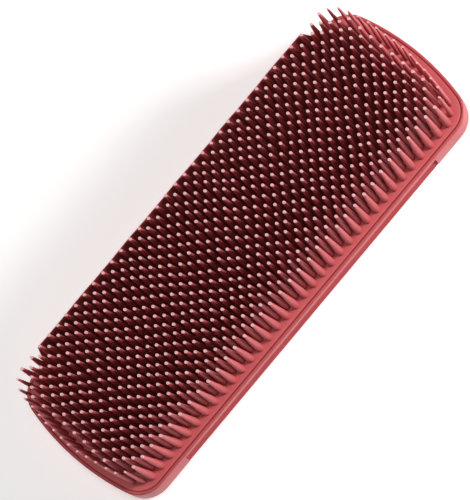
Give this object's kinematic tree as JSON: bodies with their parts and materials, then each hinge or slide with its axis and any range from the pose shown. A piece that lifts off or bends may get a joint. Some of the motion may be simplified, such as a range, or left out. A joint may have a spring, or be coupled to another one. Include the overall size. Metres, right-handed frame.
{
  "type": "rubber curry brush",
  "caption": "Block-shaped rubber curry brush: a field of slender rubber bristles, a scraper blade on one long edge and a hollow back with soft finger grips.",
  "frame": {"origin": "middle of the flat back face, which the brush rests on", "axes": "+X along the brush, +Y across it, +Z towards the bristle tips"},
  "size_m": [0.154, 0.0508, 0.0325],
  "materials": {
    "back": "satin moulded plastic, dusty red",
    "grip": "matte soft rubber, dusty red",
    "core": "matte moulded plastic, dark red",
    "bristle_rubber": "matte soft rubber, dusty red",
    "blade": "matte soft rubber, dusty red"
  },
  "bodies": {
    "back": {"back_shell": "back", "side_grip_front": "grip", "side_grip_rear": "grip"},
    "pad": {"bristle_pad": "bristle_rubber", "pad_core": "core", "scraper_blade": "blade"}
  },
  "joints": [
    {"name": "pad_lift", "type": "slide", "parent": "back", "child": "pad", "axis": [0, 0, 1], "range_m": [0, 0.02]}
  ]
}
